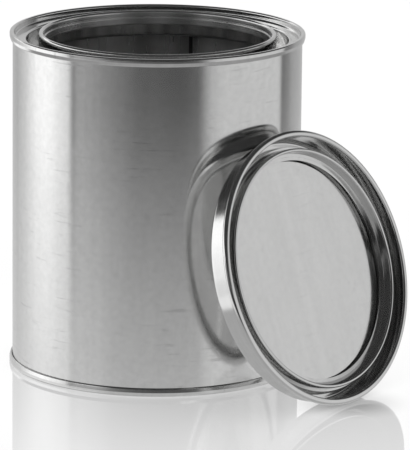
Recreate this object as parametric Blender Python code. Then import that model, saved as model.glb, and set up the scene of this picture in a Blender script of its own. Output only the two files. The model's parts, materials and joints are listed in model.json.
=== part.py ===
"""Friction-lid paint can of one US quart, with its plug lid leaning against it.

Every metal piece is thin plate turned about an axis. Each is drawn as the
middle line of its plate, radius against height, with a bend radius at each
corner. The line is thickened to both sides and spun into one closed body.
"""
import math

import bmesh
import bpy
import numpy as np
from mathutils import Matrix, Vector

MM = 0.001

# Driving dimensions, in millimetres.
CAN_HEIGHT = 123.8          # 4 7/8 in over both seams
SEAM_RADIUS = 54.0          # 4 1/4 in over the seams
PLATE = 0.25                # tinplate thickness
LAYER_GAP = 0.12            # space between the folded layers of a seam
SEAM_DEPTH = 2.9            # height of a double seam
TAPER_START = 1.5           # where the seam starts to slope back towards the wall
PANEL_RISE = 3.4            # how far the bottom panel stands above the floor

LEDGE_DROP = 2.6            # flat ledge inside the top seam, below the top of the can
GUTTER_OUTER = 47.85        # the groove that takes the lid's channel
GUTTER_INNER = 43.4
GUTTER_DROP = 10.2
CREST_DROP = 0.5            # crest of the bead around the mouth
CREST_WIDTH = 1.65          # between the bead's two walls
CREST_BEND = 0.75
MOUTH_RADIUS = 41.2         # clear radius of the mouth
STEP_DROP = 3.0             # small step where the neck narrows to the mouth
NECK_DROP = 5.4             # lower end of the neck, which is hemmed
HEM_WIDTH = 0.75

LID_CURL_RING = 48.83       # circle through the middle of the lid's curled edge
LID_CURL = 1.12             # radius of the curl itself
LID_CHANNEL_OUTER = 47.5
LID_CHANNEL_INNER = 43.9
LID_CHANNEL_DEPTH = 8.6
LID_RIDGE = 42.9            # crest between the channel and the dish
LID_PANEL = 41.4
LID_PANEL_DEPTH = 5.7

LEAN_HEADING = -39.4        # compass angle of the lid's face, degrees from +X
LEAN_TILT = 18.6            # how far the lid's face looks up, degrees
LEAN_OFFSET = (57.8, -49.5)  # centre of the lid's rim from the can's axis

SEGMENTS = 36
BEND_STEPS = 2

# Radii of the middle lines of the seam layers, from the outside in.
LAYER = PLATE + LAYER_GAP
SEAMING_WALL = SEAM_RADIUS - PLATE / 2
BODY_HOOK = SEAMING_WALL - LAYER
COVER_HOOK = BODY_HOOK - LAYER
BODY_WALL = COVER_HOOK - LAYER
CHUCK_WALL = BODY_WALL - LAYER
SEAM_BEND = 0.5             # bend radius of the outer fold
HOOK_BEND = 0.18            # bend radius of the folds inside a seam
HOOK_END = 1.35             # where the hooks stop, from the seam's outer end
COMPOUND = 0.2              # thickness of the sealing compound
COMPOUND_WIDTH = 0.28       # of the ring of compound at the closed end of a seam
BODY_INSET = PLATE + COMPOUND + LAYER_GAP + PLATE / 2


def clear_scene():
    for thing in list(bpy.data.objects):
        bpy.data.objects.remove(thing, do_unlink=True)


def metal(name, shade, roughness, metallic=1.0):
    material = bpy.data.materials.new(name)
    material.use_nodes = True
    surface = material.node_tree.nodes["Principled BSDF"]
    surface.inputs["Base Color"].default_value = (*shade, 1.0)
    surface.inputs["Roughness"].default_value = roughness
    surface.inputs["Metallic"].default_value = metallic
    return material


def bent(corners, steps=BEND_STEPS):
    """Points of a line whose corners (radius, height, bend) are rounded."""
    points = [np.array(corners[0][:2], float)]
    for before, here, after in zip(corners, corners[1:], corners[2:]):
        corner, bend = np.array(here[:2], float), here[2]
        towards = [np.array(end[:2], float) - corner for end in (before, after)]
        towards = [leg / np.linalg.norm(leg) for leg in towards]
        opening = math.acos(np.clip(towards[0] @ towards[1], -1.0, 1.0))
        if bend == 0 or opening > math.radians(178):
            points.append(corner)
            continue
        middle = towards[0] + towards[1]
        middle /= np.linalg.norm(middle)
        centre = corner + middle * bend / math.sin(opening / 2)
        start = corner + towards[0] * bend / math.tan(opening / 2) - centre
        sweep = math.pi - opening
        turn = math.copysign(1.0, towards[0][1] * towards[1][0] - towards[0][0] * towards[1][1])
        for step in range(steps + 1):
            angle = turn * sweep * step / steps
            across = np.array([-start[1], start[0]])
            points.append(centre + start * math.cos(angle) + across * math.sin(angle))
    points.append(np.array(corners[-1][:2], float))
    return points


def arc(centre, radius, first, last, steps):
    """Points of an arc, with its angles in degrees."""
    angles = [math.radians(first + (last - first) * step / steps) for step in range(steps + 1)]
    return [np.array(centre) + radius * np.array([math.cos(a), math.sin(a)]) for a in angles]


def thickened(line, thickness=PLATE):
    """Closed outline of a plate whose middle line is given."""
    line = np.array(line)
    runs = np.diff(line, axis=0)
    runs /= np.linalg.norm(runs, axis=1)[:, None]
    normals = np.stack([-runs[:, 1], runs[:, 0]], axis=1)
    before = np.vstack([normals[:1], normals])
    after = np.vstack([normals, normals[-1:]])
    mitre = before + after
    mitre /= (1 + np.sum(before * after, axis=1))[:, None]
    offset = mitre * thickness / 2
    left, right = line + offset, line - offset
    left[line[:, 0] < 1e-6, 0] = 0.0
    right[line[:, 0] < 1e-6, 0] = 0.0
    return [*left, *right[::-1]]


def turned(name, outline, material):
    """Closed body swept by an outline (radius, height) going once around the axis."""
    rings = []
    mesh_data = bmesh.new()
    for radius, height in outline:
        if radius < 1e-6:
            rings.append([mesh_data.verts.new((0, 0, height * MM))])
            continue
        angles = [2 * math.pi * k / SEGMENTS for k in range(SEGMENTS)]
        circle = [(radius * math.cos(angle), radius * math.sin(angle), height) for angle in angles]
        rings.append([mesh_data.verts.new(Vector(point) * MM) for point in circle])
    for ring, following in zip(rings, rings[1:] + rings[:1]):
        if len(ring) == 1 and len(following) == 1:
            continue
        for k in range(SEGMENTS):
            corners = [ring[k % len(ring)], ring[(k + 1) % len(ring)],
                       following[(k + 1) % len(following)], following[k % len(following)]]
            mesh_data.faces.new(list(dict.fromkeys(corners)))
    bmesh.ops.recalc_face_normals(mesh_data, faces=mesh_data.faces)
    mesh = bpy.data.meshes.new(name)
    mesh_data.to_mesh(mesh)
    mesh_data.free()
    mesh.shade_smooth()
    mesh.set_sharp_from_angle(angle=math.radians(35))
    mesh.materials.append(material)
    piece = bpy.data.objects.new(name, mesh)
    bpy.context.collection.objects.link(piece)
    return piece


def seam_cover():
    """Corners of the part of an end that folds around the body's hook.

    Heights are measured inwards from the seam's outer end, which is at zero.
    """
    return [(CHUCK_WALL, PLATE / 2, SEAM_BEND),
            (SEAMING_WALL, PLATE / 2, SEAM_BEND),
            (SEAMING_WALL, TAPER_START, SEAM_BEND),
            (BODY_HOOK, SEAM_DEPTH - PLATE / 2, HOOK_BEND),
            (COVER_HOOK, SEAM_DEPTH - PLATE / 2, HOOK_BEND),
            (COVER_HOOK, HOOK_END, 0)]


def from_top(corners):
    """The same corners, measured down from the top of the can."""
    return [(radius, CAN_HEIGHT - depth, bend) for radius, depth, bend in corners]


def body_wall():
    lower = [(BODY_HOOK, HOOK_END, 0),
             (BODY_HOOK, BODY_INSET, HOOK_BEND),
             (BODY_WALL, BODY_INSET, HOOK_BEND)]
    line = bent(lower + from_top(lower)[::-1])
    return turned("body_wall", thickened(line), metal("tinplate_wall", (0.78, 0.78, 0.78), 0.22))


def bottom_end():
    bead_outer, bead_inner, bead_rise = 40.0, 37.0, 0.9
    corners = [(0, PANEL_RISE, 0),
               (bead_inner, PANEL_RISE, 0.8),
               (bead_inner + 0.9, PANEL_RISE + bead_rise, 0.5),
               (bead_outer - 0.9, PANEL_RISE + bead_rise, 0.5),
               (bead_outer, PANEL_RISE, 0.8),
               (CHUCK_WALL, PANEL_RISE, 1.0)]
    line = bent(corners + seam_cover())
    return turned("bottom_end", thickened(line), metal("tinplate_bottom", (0.75, 0.75, 0.75), 0.26))


def top_ring():
    neck = MOUTH_RADIUS + PLATE / 2
    inward = [(CHUCK_WALL, LEDGE_DROP, 0.8),
              (GUTTER_OUTER + 0.1, LEDGE_DROP, 0.6),
              (GUTTER_OUTER - 0.1, GUTTER_DROP, 1.1),
              (GUTTER_INNER, GUTTER_DROP, 1.1),
              (GUTTER_INNER, CREST_DROP, CREST_BEND),
              (GUTTER_INNER - CREST_WIDTH, CREST_DROP, CREST_BEND),
              (GUTTER_INNER - CREST_WIDTH, STEP_DROP - 0.3, 0.25),
              (neck, STEP_DROP, 0.25),
              (neck, NECK_DROP, 0.3),
              (neck + HEM_WIDTH, NECK_DROP, 0.3),
              (neck + HEM_WIDTH, NECK_DROP - 0.9, 0)]
    line = bent(from_top(seam_cover()[::-1] + inward))
    return turned("top_ring", thickened(line), metal("tinplate_ring", (0.80, 0.80, 0.80), 0.20))


def compound(name, top_side):
    """Flat ring of sealing compound at the closed end of a seam."""
    low = PLATE + LAYER_GAP / 2
    middle = (BODY_WALL + BODY_HOOK) / 2
    inner, outer = middle - COMPOUND_WIDTH / 2, middle + COMPOUND_WIDTH / 2
    outline = [(inner, low), (outer, low), (outer, low + COMPOUND), (inner, low + COMPOUND)]
    if top_side:
        outline = [(radius, CAN_HEIGHT - height) for radius, height in outline]
    return turned(name, outline, metal(name + "_rubber", (0.32, 0.30, 0.27), 0.8, 0.0))


def plug_lid():
    """Lid drawn flat, with the middle of its curled edge at height zero."""
    flange = LID_CURL - PLATE / 2
    curl = arc((LID_CURL_RING, 0), flange, -150, 90, 8)
    corners = [(LID_CURL_RING, flange, 0),
               (LID_CHANNEL_OUTER + 0.25, flange, 0.6),
               (LID_CHANNEL_OUTER, -LID_CHANNEL_DEPTH, 1.2),
               (LID_CHANNEL_INNER, -LID_CHANNEL_DEPTH, 1.2),
               (LID_RIDGE + 0.55, -0.55, 0.5),
               (LID_RIDGE - 0.55, -0.55, 0.5),
               (LID_PANEL + 0.45, -LID_PANEL_DEPTH, 0.7),
               (0, -LID_PANEL_DEPTH, 0)]
    line = curl[:-1] + bent(corners)
    return turned("plug_lid", thickened(line), metal("tinplate_lid", (0.80, 0.80, 0.80), 0.20))


def stand_in_for_axis(name):
    axis = bpy.data.objects.new(name, None)
    axis.empty_display_size = 0.02
    bpy.context.collection.objects.link(axis)
    return axis


def lean(lid, lid_axis):
    """Stand the lid on the floor by its edge, its back towards the can."""
    heading, tilt = math.radians(LEAN_HEADING), math.radians(LEAN_TILT)
    face = Vector((math.cos(tilt) * math.cos(heading), math.cos(tilt) * math.sin(heading), math.sin(tilt)))
    level = Vector((0, 0, 1)).cross(face).normalized()
    uphill = face.cross(level)
    turn = Matrix((uphill, -level, face)).transposed()
    height = -min((turn @ vertex.co).z for vertex in lid.data.vertices)
    place = Vector((LEAN_OFFSET[0] * MM, LEAN_OFFSET[1] * MM, height))
    lid_axis.matrix_world = Matrix.Translation(place) @ turn.to_4x4()
    lid.parent = lid_axis


def centre_on_origin(axes):
    """Put the middle of the whole assembly's footprint on the origin."""
    bpy.context.view_layer.update()
    corners = [thing.matrix_world @ vertex.co
               for thing in bpy.context.scene.objects if thing.type == "MESH"
               for vertex in thing.data.vertices]
    for side in (0, 1):
        places = [corner[side] for corner in corners]
        middle = (min(places) + max(places)) / 2
        for axis in axes:
            axis.location[side] -= middle
    bpy.context.view_layer.update()


clear_scene()
can_axis = stand_in_for_axis("can_axis")
lid_axis = stand_in_for_axis("lid_axis")
for part in (body_wall(), bottom_end(), top_ring(),
             compound("bottom_seam_compound", False), compound("top_seam_compound", True)):
    part.parent = can_axis
lean(plug_lid(), lid_axis)
centre_on_origin((can_axis, lid_axis))
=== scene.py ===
"""Looks of a one-quart friction-lid paint can, open, with its plug lid leaning on it."""
import json
import math

import bpy
from mathutils import Euler, Matrix, Vector


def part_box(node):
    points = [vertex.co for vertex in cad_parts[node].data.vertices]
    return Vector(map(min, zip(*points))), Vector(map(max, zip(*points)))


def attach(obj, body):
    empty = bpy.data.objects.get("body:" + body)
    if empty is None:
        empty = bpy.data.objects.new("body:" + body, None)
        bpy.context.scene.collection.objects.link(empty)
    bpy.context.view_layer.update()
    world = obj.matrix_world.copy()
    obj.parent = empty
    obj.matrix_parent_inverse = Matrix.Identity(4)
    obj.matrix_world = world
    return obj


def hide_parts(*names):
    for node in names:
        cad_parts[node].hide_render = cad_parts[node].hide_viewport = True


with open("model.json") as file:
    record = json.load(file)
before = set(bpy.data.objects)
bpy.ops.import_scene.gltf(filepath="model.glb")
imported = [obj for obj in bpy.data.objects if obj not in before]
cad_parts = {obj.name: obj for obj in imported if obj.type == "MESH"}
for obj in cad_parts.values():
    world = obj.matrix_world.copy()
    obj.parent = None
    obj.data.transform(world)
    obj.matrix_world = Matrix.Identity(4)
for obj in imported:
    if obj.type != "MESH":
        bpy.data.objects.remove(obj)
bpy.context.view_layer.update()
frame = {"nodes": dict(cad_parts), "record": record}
MM = 0.001

# ---------------------------------------------------------------------------
# Camera. A long lens a little above the can, looking slightly down at it.
wall_low, wall_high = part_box("body_wall")
can_axis = Vector(((wall_low.x + wall_high.x) / 2, (wall_low.y + wall_high.y) / 2, 0))
CAMERA_DISTANCE = 1.7012
CAMERA_HEIGHT = 0.4524
CAMERA_ASIDE = 0.0015
CAMERA_PAN = 0.556
CAMERA_DIP = 13.271
CAMERA_ROLL = 0.584
LENS = 379.4

camera_data = bpy.data.cameras.new("camera")
camera_data.lens = LENS
camera_data.clip_end = 20
camera = bpy.data.objects.new("camera", camera_data)
bpy.context.scene.collection.objects.link(camera)
camera.location = can_axis + Vector((CAMERA_ASIDE, -CAMERA_DISTANCE, CAMERA_HEIGHT))
aim = Euler((math.radians(90 - CAMERA_DIP), 0, math.radians(-CAMERA_PAN))).to_matrix()
camera.rotation_euler = (aim @ Matrix.Rotation(math.radians(CAMERA_ROLL), 3, "Z")).to_euler()
bpy.context.scene.camera = camera


# ---------------------------------------------------------------------------
# Body wall. One sheet of tinplate, rolled into a cylinder and welded down the
# back, with a flange at each end that is folded into the seams as a hook.
class Amount:
    """A number in a material. Arithmetic on it adds Math nodes."""

    def __init__(self, paint, socket):
        self.paint, self.socket = paint, socket

    def _with(self, operation, *values):
        return self.paint.node("ShaderNodeMath", {"operation": operation}, *values)

    def __add__(self, other):
        return self._with("ADD", self, other)

    def __sub__(self, other):
        return self._with("SUBTRACT", self, other)

    def __rsub__(self, other):
        return self._with("SUBTRACT", other, self)

    def __mul__(self, other):
        return self._with("MULTIPLY", self, other)

    def __truediv__(self, other):
        return self._with("DIVIDE", self, other)

    def other(self, output):
        """Another output of the same node."""
        return Amount(self.paint, self.socket.node.outputs[output])

    def above(self, low, high):
        """0 below low, 1 above high, and smooth between."""
        settings = {"interpolation_type": "SMOOTHSTEP"}
        return self.paint.node("ShaderNodeMapRange", settings, self, low, high)

    __radd__, __rmul__ = __add__, __mul__


class Paint:
    """The nodes of one material or of the world."""

    def __init__(self, tree):
        self.tree = tree
        tree.nodes.clear()

    def node(self, kind, settings, *values, output=0, **named):
        made = self.tree.nodes.new(kind)
        for name, value in settings.items():
            if name == "stops":
                self.set_stops(made.color_ramp, value)
            else:
                setattr(made, name, value)
        for place, value in [*enumerate(values), *named.items()]:
            socket = made.inputs[place.replace("_", " ") if isinstance(place, str) else place]
            if isinstance(value, Amount):
                self.tree.links.new(value.socket, socket)
            else:
                socket.default_value = value
        return Amount(self, made.outputs[output]) if made.outputs else None

    @staticmethod
    def set_stops(ramp, stops):
        while len(ramp.elements) < len(stops):
            ramp.elements.new(1.0)
        for element, (place, value) in zip(ramp.elements, stops):
            element.position = place
            element.color = (value, value, value, 1)


def new_paint(name):
    material = bpy.data.materials.new(name)
    material.use_nodes = True
    return material, Paint(material.node_tree)


# Lines per metre along each axis. The few are along the way in which the sheet was rolled.
ROLLED_UP = (220, 220, 5)
ROLLED_SIDEWAYS = (5, 220, 220)
DASHES_ALONG, DASHES_ACROSS = 900, 60
LACQUER_RUNS = (60, 60, 1)
PRESSED_LINES = 2400

# Features per metre, and how high they stand, in metres.
DENTS, DENT_HEIGHT = 26.0, 0.00004
RIPPLES, RIPPLE_HEIGHT = 95.0, 0.000012
CRYSTALS, CRYSTAL_HEIGHT = 1400.0, 0.0000004
LINE_HEIGHT = 0.0000035
SCRATCH_DEPTH = 0.000002
BLOTCHES, MOTTLES, RUBS, SCRATCHED_PATCHES = 42.0, 420.0, 130.0, 45.0
LACQUER_EDGE = 0.05 * MM


def tinplate(name, centre, turn=(0, 0, 0), rolling=ROLLED_UP, burnished=None, marks=None,
             lined=None, wear=1.0, shade=0.74, roughness=0.12):
    """Bright tinplate, in the piece's own frame: sheet that was rolled straight, then pressed.

    rolling gives the straight lines of the sheet, burnished the radii between which dies have
    left lines that run round, and marks is a function that may darken and roughen places.
    Within the radius lined, the sheet carries a thin grey lacquer. wear scales the scratches.
    """
    material, paint = new_paint(name)
    place = paint.node("ShaderNodeTexCoord", {}, output="Object")
    place = paint.node("ShaderNodeMapping", {"vector_type": "TEXTURE"}, place, tuple(centre), tuple(turn))
    flat = paint.node("ShaderNodeVectorMath", {"operation": "MULTIPLY"}, place, (1, 1, 0))
    radius = paint.node("ShaderNodeVectorMath", {"operation": "LENGTH"}, flat, output="Value")
    height = paint.node("ShaderNodeSeparateXYZ", {}, place, output="Z")

    def cloud(scale, detail=2.0, vector=place, rough=0.55):
        return paint.node("ShaderNodeTexNoise", {}, Vector=vector, Scale=scale, Detail=detail,
                          Roughness=rough)

    def stretched(scales):
        return paint.node("ShaderNodeMapping", {}, place, (0, 0, 0), (0, 0, 0), scales)

    lines = cloud(1.0, 3.0, stretched(rolling))
    round_place = paint.node("ShaderNodeCombineXYZ", {}, radius * PRESSED_LINES, height * PRESSED_LINES,
                             cloud(9.0))
    rings = cloud(1.0, 3.0, round_place)
    if burnished:
        inner, outer = burnished
        pressed = radius.above(inner, inner + MM) - radius.above(outer, outer + MM)
        lines = lines + (rings - lines) * pressed
    across = [DASHES_ALONG if pitch == min(rolling) else DASHES_ACROSS for pitch in rolling]
    dashes = cloud(1.0, 4.0, stretched(across), 0.7)
    scratched = dashes.above(0.57, 0.69) * cloud(SCRATCHED_PATCHES).above(0.44, 0.60) * wear
    if lined:
        lacquer = 1 - radius.above(lined - LACQUER_EDGE, lined + LACQUER_EDGE)
        scratched = scratched * (1 - lacquer)
    rubbed = cloud(RUBS, 5.0, rough=0.7).above(0.56, 0.76)
    blotch = cloud(BLOTCHES, 3.0)
    mottle = cloud(MOTTLES, 3.0)
    crystal = cloud(CRYSTALS, 2.0)
    tone = shade + (blotch - 0.5) * 0.08 + (lines - 0.5) * 0.09 - rubbed * 0.03 - scratched * 0.13
    tone = tone + (mottle - 0.5) * (0.04 + 0.10 * wear)
    rough = roughness + (blotch - 0.5) * 0.06 + (lines - 0.5) * 0.08 + rubbed * 0.07 + scratched * 0.10
    metallic = 1.0
    if lined:
        runs = cloud(1.0, 1.0, stretched(LACQUER_RUNS))
        tone = tone * (1 - lacquer * (1 - runs.above(0.30, 0.70)) * 0.55)
        metallic = 1 - lacquer * 0.07
        rough = rough + lacquer * 0.16
    if marks:
        mark = marks(paint, place)
        tone = tone * (1 - mark * 0.85)
        rough = rough + mark * 0.1
    colour = paint.node("ShaderNodeCombineColor", {}, tone, tone, tone * 0.995)
    relief = cloud(DENTS, 1.0) * DENT_HEIGHT + cloud(RIPPLES, 2.0) * RIPPLE_HEIGHT + lines * LINE_HEIGHT
    relief = relief + crystal * CRYSTAL_HEIGHT - scratched * SCRATCH_DEPTH
    bump = paint.node("ShaderNodeBump", {}, Strength=1.0, Distance=1.0, Height=relief)
    surface = paint.node("ShaderNodeBsdfPrincipled", {}, Base_Color=colour, Metallic=metallic,
                         Roughness=rough, Normal=bump)
    paint.node("ShaderNodeOutputMaterial", {}, surface)
    return material


BRACE = 0.2 * MM


def bent(corners, steps=7):
    """Middle line of a plate (radius, height), with its corners (radius, height, bend) rounded.

    Each flat run gets an extra edge just inside either end, which keeps its shading flat.
    """
    line = [Vector(corners[0][:2])]
    for before, here, after in zip(corners, corners[1:], corners[2:]):
        corner, bend = Vector(here[:2]), here[2]
        back, ahead = [(Vector(end[:2]) - corner).normalized() for end in (before, after)]
        opening = back.angle(ahead)
        if bend == 0 or opening > math.radians(178):
            line.append(corner)
            continue
        centre = corner + (back + ahead).normalized() * bend / math.sin(opening / 2)
        start = corner + back * bend / math.tan(opening / 2) - centre
        turn = math.copysign(math.pi - opening, back.y * ahead.x - back.x * ahead.y)
        line += [centre + Matrix.Rotation(turn * step / steps, 2) @ start for step in range(steps + 1)]
    line.append(Vector(corners[-1][:2]))
    braced = line[:1]
    for here, following in zip(line, line[1:]):
        step = following - here
        if step.length > 4 * BRACE:
            braced += [here + step.normalized() * BRACE, following - step.normalized() * BRACE]
        braced.append(following)
    return braced


def choose(*objects):
    bpy.ops.object.select_all(action="DESELECT")
    for thing in objects:
        thing.select_set(True)
        bpy.context.view_layer.objects.active = thing


SPIN_STEPS = 256


def spun_plate(name, line):
    """A plate whose middle line is drawn by extruding a point, then spun about the Z axis."""
    choose()
    start = Vector((line[0].x, 0, line[0].y))
    bpy.ops.mesh.primitive_circle_add(vertices=3, radius=MM)
    piece = bpy.context.object
    piece.name = name
    bpy.ops.object.mode_set(mode="EDIT")
    bpy.ops.mesh.select_all(action="SELECT")
    bpy.ops.mesh.merge(type="CENTER")
    bpy.ops.transform.translate(value=start)
    for here, following in zip(line, line[1:]):
        step = following - here
        bpy.ops.mesh.extrude_vertices_move(TRANSFORM_OT_translate={"value": (step.x, 0, step.y)})
    bpy.ops.mesh.select_all(action="SELECT")
    bpy.ops.mesh.spin(steps=SPIN_STEPS, angle=2 * math.pi, center=(0, 0, 0), axis=(0, 0, 1))
    bpy.ops.mesh.select_all(action="SELECT")
    bpy.ops.mesh.remove_doubles(threshold=0.000002)
    bpy.ops.mesh.normals_make_consistent(inside=False)
    bpy.ops.object.mode_set(mode="OBJECT")
    wall = piece.modifiers.new("plate", "SOLIDIFY")
    wall.thickness = PLATE
    wall.offset = 0
    wall.use_even_offset = True
    bpy.ops.object.modifier_apply(modifier="plate")
    bpy.ops.object.shade_smooth_by_angle(angle=math.radians(35))
    return piece


def put_in_place(piece, place):
    """Apply a placing matrix, so that the object itself stays at the origin."""
    choose(piece)
    piece.matrix_world = place
    bpy.ops.object.transform_apply(location=True, rotation=True, scale=True)


def finish_piece(piece, body, material, slot, *nodes):
    piece.data.materials.clear()
    piece.data.materials.append(material)
    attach(piece, body)
    if nodes:
        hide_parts(*nodes)


bottom_low, bottom_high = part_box("bottom_end")
ring_low, ring_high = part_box("top_ring")
CAN_TOP = ring_high.z
SEAM_RADIUS = (ring_high.x - ring_low.x) / 2
PLATE = 0.25 * MM
LAYER = 0.37 * MM
SEAM_DEPTH = 2.9 * MM
TAPER_START = 1.5 * MM
HOOK_END = 1.35 * MM
SEAMING_WALL = SEAM_RADIUS - PLATE / 2
BODY_HOOK = SEAMING_WALL - LAYER
COVER_HOOK = BODY_HOOK - LAYER
BODY_WALL = COVER_HOOK - LAYER
CHUCK_WALL = BODY_WALL - LAYER
SEAM_BEND = 0.5 * MM
HOOK_BEND = 0.18 * MM
can_place = Matrix.Translation(can_axis)

hook_inset = wall_low.z + PLATE / 2
lower_hook = [(BODY_HOOK, HOOK_END, 0),
              (BODY_HOOK, hook_inset, HOOK_BEND),
              (BODY_WALL, hook_inset, HOOK_BEND)]
upper_hook = [(radius, CAN_TOP - height, bend) for radius, height, bend in lower_hook]
body_wall = spun_plate("rolled_wall", bent(lower_hook + upper_hook[::-1]))
put_in_place(body_wall, can_place)
WELD_HEADING = 76.3
WELD_WIDTH = 1.5 * MM


def weld_mark(paint, place):
    """The welded side seam: a straight, dark, rougher line up the wall."""
    east = paint.node("ShaderNodeSeparateXYZ", {}, place)
    heading = math.radians(WELD_HEADING)
    beside = east * math.sin(heading) - east.other("Y") * math.cos(heading)
    facing = (east * math.cos(heading) + east.other("Y") * math.sin(heading)).above(0.01, 0.02)
    apart = paint.node("ShaderNodeMath", {"operation": "ABSOLUTE"}, beside)
    return facing * (1 - apart.above(WELD_WIDTH * 0.4, WELD_WIDTH * 0.6))


wall_metal = tinplate("wall_tinplate", can_axis, marks=weld_mark, lined=BODY_WALL)
finish_piece(body_wall, "can", wall_metal, "wall_plate", "body_wall")


# ---------------------------------------------------------------------------
# Bottom end. A drawn disc with a raised panel and one stiffening bead, its rim
# rolled around the body's lower hook to make the seam that the can stands on.
def folded_rim():
    """Rim of an end, from its chuck wall round the hook, heights from the seam's outer face."""
    return [(CHUCK_WALL, PLATE / 2, SEAM_BEND),
            (SEAMING_WALL, PLATE / 2, SEAM_BEND),
            (SEAMING_WALL, TAPER_START, SEAM_BEND),
            (BODY_HOOK, SEAM_DEPTH - PLATE / 2, HOOK_BEND),
            (COVER_HOOK, SEAM_DEPTH - PLATE / 2, HOOK_BEND),
            (COVER_HOOK, HOOK_END, 0)]


PANEL_RISE = 3.4 * MM
BEAD_RISE = bottom_high.z - PLATE / 2 - PANEL_RISE
BEAD_OUTER, BEAD_INNER, BEAD_SLOPE = 40 * MM, 37 * MM, 0.9 * MM
panel = [(0, PANEL_RISE, 0),
         (BEAD_INNER, PANEL_RISE, 0.8 * MM),
         (BEAD_INNER + BEAD_SLOPE, PANEL_RISE + BEAD_RISE, 0.5 * MM),
         (BEAD_OUTER - BEAD_SLOPE, PANEL_RISE + BEAD_RISE, 0.5 * MM),
         (BEAD_OUTER, PANEL_RISE, 0.8 * MM),
         (CHUCK_WALL, PANEL_RISE, 1.0 * MM)]
bottom_end = spun_plate("bottom_disc", bent(panel + folded_rim()))
put_in_place(bottom_end, can_place)
bottom_metal = tinplate("bottom_tinplate", can_axis, rolling=ROLLED_SIDEWAYS,
                        burnished=(BEAD_INNER, SEAM_RADIUS), roughness=0.14)
finish_piece(bottom_end, "can", bottom_metal, "bottom_plate", "bottom_end")

# ---------------------------------------------------------------------------
# Top ring. Drawn from one disc: seam, flat ledge, deep gutter that takes the
# lid's channel, bead around the mouth, and a short neck with a hemmed edge.
LEDGE_DROP = 2.6 * MM
GUTTER_OUTER = 47.85 * MM
GUTTER_INNER = 43.4 * MM
GUTTER_DROP = CAN_TOP - ring_low.z - PLATE / 2
CREST_DROP = 0.5 * MM
CREST_WIDTH = 1.65 * MM
CREST_BEND = 0.75 * MM
NECK = 41.2 * MM + PLATE / 2
STEP_DROP = 3.0 * MM
STEP_BEND = 0.25 * MM
NECK_DROP = 5.4 * MM
HEM_WIDTH = 0.75 * MM
DRAFT = 0.1 * MM
inward = [(CHUCK_WALL, LEDGE_DROP, 0.8 * MM),
          (GUTTER_OUTER + DRAFT, LEDGE_DROP, 0.6 * MM),
          (GUTTER_OUTER - DRAFT, GUTTER_DROP, 1.1 * MM),
          (GUTTER_INNER, GUTTER_DROP, 1.1 * MM),
          (GUTTER_INNER, CREST_DROP, CREST_BEND),
          (GUTTER_INNER - CREST_WIDTH, CREST_DROP, CREST_BEND),
          (GUTTER_INNER - CREST_WIDTH, STEP_DROP - 0.3 * MM, STEP_BEND),
          (NECK, STEP_DROP, STEP_BEND),
          (NECK, NECK_DROP, 0.3 * MM),
          (NECK + HEM_WIDTH, NECK_DROP, 0.3 * MM),
          (NECK + HEM_WIDTH, NECK_DROP - 0.9 * MM, 0)]
profile = [(radius, CAN_TOP - depth, bend) for radius, depth, bend in folded_rim()[::-1] + inward]
top_ring = spun_plate("mouth_ring", bent(profile))
put_in_place(top_ring, can_place)
ring_metal = tinplate("ring_tinplate", can_axis, rolling=ROLLED_SIDEWAYS, burnished=(0, SEAM_RADIUS),
                      lined=GUTTER_INNER - CREST_WIDTH)
finish_piece(top_ring, "can", ring_metal, "ring_plate", "top_ring")

# ---------------------------------------------------------------------------
# Plug lid. Drawn from one disc: curled edge, deep channel, ridge that sits
# over the mouth's bead, and a flat recessed panel. It leans on the can.
lid_face = next(mount for mount in frame["record"]["mounts"] if mount["name"] == "lid_panel")
outward = Vector(lid_face["axis"]).normalized()
CURL_RING = 48.83 * MM
CURL = 1.12 * MM
CHANNEL_OUTER, CHANNEL_INNER = 47.5 * MM, 43.9 * MM
CHANNEL_DEPTH = 8.6 * MM
RIDGE = 42.9 * MM
RIDGE_DROP = 0.55 * MM
PANEL = 41.4 * MM
PANEL_DEPTH = 5.7 * MM
STEP_RISE = 1.6 * MM
flange = CURL - PLATE / 2
curl = [Vector((CURL_RING, 0)) + Matrix.Rotation(math.radians(-150 + 15 * step), 2) @ Vector((flange, 0))
        for step in range(16)]
drawn = bent([(CURL_RING, flange, 0),
              (CHANNEL_OUTER + 0.25 * MM, flange, 0.6 * MM),
              (CHANNEL_OUTER, -CHANNEL_DEPTH, 1.2 * MM),
              (CHANNEL_INNER, -CHANNEL_DEPTH, 1.2 * MM),
              (RIDGE + 0.55 * MM, -RIDGE_DROP, 0.5 * MM),
              (RIDGE - 0.55 * MM, -RIDGE_DROP, 0.5 * MM),
              (PANEL + 0.85 * MM, STEP_RISE - PANEL_DEPTH, 0.2 * MM),
              (PANEL + 0.5 * MM, STEP_RISE - PANEL_DEPTH, 0.2 * MM),
              (PANEL + 0.4 * MM, -PANEL_DEPTH, 0.45 * MM),
              (0, -PANEL_DEPTH, 0)])
plug_lid = spun_plate("lid_plate", curl + drawn)
level = Vector((0, 0, 1)).cross(outward).normalized()
lid_turn = Matrix((outward.cross(level), -level, outward)).transposed()
lid_centre = Vector(lid_face["pos_m"]) + outward * (PANEL_DEPTH - PLATE / 2)
put_in_place(plug_lid, Matrix.Translation(lid_centre) @ lid_turn.to_4x4())
lid_metal = tinplate("lid_tinplate", lid_centre, lid_turn.to_euler(), rolling=ROLLED_SIDEWAYS,
                     burnished=(PANEL - 0.5 * MM, CURL_RING + CURL), wear=0.3)
finish_piece(plug_lid, "lid", lid_metal, "lid_plate", "plug_lid")

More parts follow.
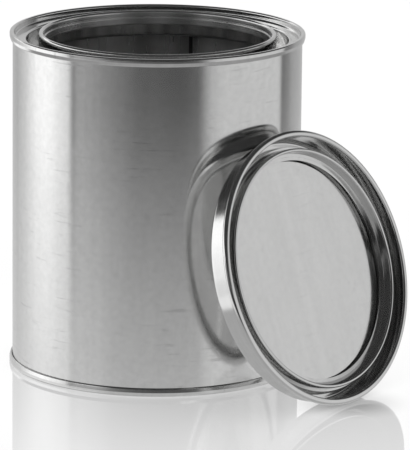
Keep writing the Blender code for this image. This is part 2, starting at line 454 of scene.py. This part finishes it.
# ---------------------------------------------------------------------------
# Sealing compound. A rubbery film flowed into each end before seaming, which
# sets as a thin ring in the closed end of the double seam.
compound_metal, paint = new_paint("sealing_compound")
place = paint.node("ShaderNodeTexCoord", {}, output="Object")
grain = paint.node("ShaderNodeTexNoise", {}, Vector=place, Scale=700.0, Detail=3.0)
tone = 0.20 + grain * 0.18
colour = paint.node("ShaderNodeCombineColor", {}, tone, tone * 0.95, tone * 0.86)
bump = paint.node("ShaderNodeBump", {}, Strength=0.4, Distance=0.00005, Height=grain)
surface = paint.node("ShaderNodeBsdfPrincipled", {}, Base_Color=colour, Roughness=0.7 + grain * 0.2,
                     Normal=bump)
paint.node("ShaderNodeOutputMaterial", {}, surface)
for name in ("bottom_seam_compound", "top_seam_compound"):
    frame["nodes"][name].data.materials.clear()
    frame["nodes"][name].data.materials.append(compound_metal)

# ---------------------------------------------------------------------------
# Studio. A glossy white sweep, with a large soft light low on the left, a card on
# the right and a dark room in front and overhead, as the polished metal sees them.
# Brightness by compass direction in degrees: 0 is to the front, positive to the right.
seen_level = [(-180, 0.58), (-148, 0.50), (-128, 0.80), (-110, 1.30), (-96, 1.34), (-86, 1.13), (-79, 1.0),
              (-74.5, 0.90), (-70.5, 0.22), (-66, 0.44), (-55, 0.37), (-35, 0.27), (-15, 0.15), (18, 0.11),
              (33, 0.15), (37, 0.30), (42, 0.52), (53, 0.68), (70, 0.70), (114, 0.70), (118, 0.18),
              (126, 0.26), (136, 0.42), (180, 0.58)]
seen_above = [(-180, 0.50), (-165, 0.90), (-150, 1.35), (-60, 1.35), (-45, 0.80), (-34, 0.12), (0, 0.05),
              (34, 0.08), (60, 0.30), (130, 0.32), (160, 0.45), (180, 0.50)]
# The share of the level brightness that is left near the floor.
seen_low = [(-180, 1.0), (-50, 1.0), (-38, 0.2), (22, 0.2), (34, 1.0), (180, 1.0)]
LOW_TOP, CARD_TOP, LIGHT_TOP = 9.5, 16.5, 25.0
DARK_ROOM = 0.04
WHITE_ROOM = 1.55
BRIGHTEST = 1.5
SWEEP_SIZE = 8
BOARD_WHITE, BOARD_GLOW = 0.22, 0.56
POLISH_NEAR, POLISH_FAR = 0.27, 0.17
POLISH_FROM, POLISH_TO = 0.05, 0.16
SHADOW_CORE, SHADOW_EDGE, SHADOW_DEPTH = 0.002, 0.024, 0.65
NEAR, FAR = 0.05, 0.57
FLOOR_GLOW, NEAR_GLOSS = 0.77, 0.35


def round_the_can(paint, east, south, stops):
    """Brightness in the direction of a ray, from stops by compass direction."""
    turn = paint.node("ShaderNodeMath", {"operation": "ARCTAN2"}, east, south)
    ramp = {"stops": [(0.5 + angle / 360, value / BRIGHTEST) for angle, value in stops]}
    return paint.node("ShaderNodeValToRGB", ramp, turn / (2 * math.pi) + 0.5) * BRIGHTEST


def over(height, degrees, fade=1.0):
    """0 below an angle above the horizon and 1 over it."""
    low, high = (math.sin(math.radians(degrees + side * fade)) for side in (-1, 1))
    return height.above(low, high)


def distance_from(paint, point):
    place = paint.node("ShaderNodeTexCoord", {}, output="Object")
    apart = paint.node("ShaderNodeVectorMath", {"operation": "SUBTRACT"}, place, tuple(point))
    return paint.node("ShaderNodeVectorMath", {"operation": "LENGTH"}, apart, output="Value")


# A pale board with a clear polish that glows evenly, with a painted contact shadow: its glow is darker
# just round the lid's foot.
sweep, paint = new_paint("white_sweep")
lid_foot = lid_centre - outward.cross(level) * (CURL_RING + CURL)
# Painted shadow: the glow colour is darkened round the point where the lid rests on the floor.
lit = 1 - (1 - distance_from(paint, lid_foot).above(SHADOW_CORE, SHADOW_EDGE)) * SHADOW_DEPTH
lit = paint.node("ShaderNodeCombineColor", {}, lit, lit, lit)
board = paint.node("ShaderNodeBsdfPrincipled", {}, Base_Color=(BOARD_WHITE, BOARD_WHITE, BOARD_WHITE, 1),
                   Roughness=0.9, Specular_IOR_Level=0.0, Emission_Color=lit,
                   Emission_Strength=BOARD_GLOW)
polish = paint.node("ShaderNodeBsdfAnisotropic", {}, Color=(1, 1, 1, 1), Roughness=0.0)
reach = distance_from(paint, can_axis)
polished = POLISH_NEAR + (POLISH_FAR - POLISH_NEAR) * reach.above(POLISH_FROM, POLISH_TO)
surface = paint.node("ShaderNodeMixShader", {}, polished, board, polish)
paint.node("ShaderNodeOutputMaterial", {}, surface)
choose()
bpy.ops.mesh.primitive_plane_add(size=SWEEP_SIZE)
floor = bpy.context.object
floor.name = "floor"
floor.data.materials.append(sweep)
floor.visible_glossy = False

# What the metal sees of the floor: white near the can, and more and more of the room further off.
mirrored, paint = new_paint("floor_as_metal_sees_it")
away = paint.node("ShaderNodeMapRange", {}, distance_from(paint, can_axis), NEAR, FAR)
share = away * (1 - NEAR_GLOSS) + NEAR_GLOSS
lit = paint.node("ShaderNodeEmission", {}, (1, 1, 1, 1), FLOOR_GLOW)
gloss = paint.node("ShaderNodeBsdfAnisotropic", {}, Color=(1, 1, 1, 1), Roughness=0.02)
paint.node("ShaderNodeOutputMaterial", {}, paint.node("ShaderNodeMixShader", {}, share, lit, gloss))
choose()
bpy.ops.mesh.primitive_plane_add(size=SWEEP_SIZE, location=(0, 0, -MM))
under = bpy.context.object
under.name = "floor_reflection"
under.data.materials.append(mirrored)
under.visible_camera = False
under.visible_diffuse = False
under.visible_shadow = False

# The room is white for the floor and the camera. Only polished metal sees the lights and the dark.
world = bpy.data.worlds.new("studio")
world.use_nodes = True
bpy.context.scene.world = world
paint = Paint(world.node_tree)
direction = paint.node("ShaderNodeTexCoord", {}, output="Generated")
east = paint.node("ShaderNodeSeparateXYZ", {}, direction)
south, height = east.other("Y") * -1, east.other("Z")
at_level = round_the_can(paint, east, south, seen_level)
above = round_the_can(paint, east, south, seen_above)
low_share = round_the_can(paint, east, south, seen_low)
at_level = at_level * (low_share + (1 - low_share) * over(height, LOW_TOP))
metal_sees = at_level + (above - at_level) * over(height, CARD_TOP)
metal_sees = metal_sees + (DARK_ROOM - metal_sees) * over(height, LIGHT_TOP)
glossy = paint.node("ShaderNodeLightPath", {}, output="Is Glossy Ray")
off_metal = glossy * (1 - glossy.other("Is Singular Ray"))
strength = WHITE_ROOM + (metal_sees - WHITE_ROOM) * off_metal
background = paint.node("ShaderNodeBackground", {}, (1, 1, 1, 1), strength)
paint.node("ShaderNodeOutputWorld", {}, background)
bpy.context.scene.view_settings.view_transform = "Standard"
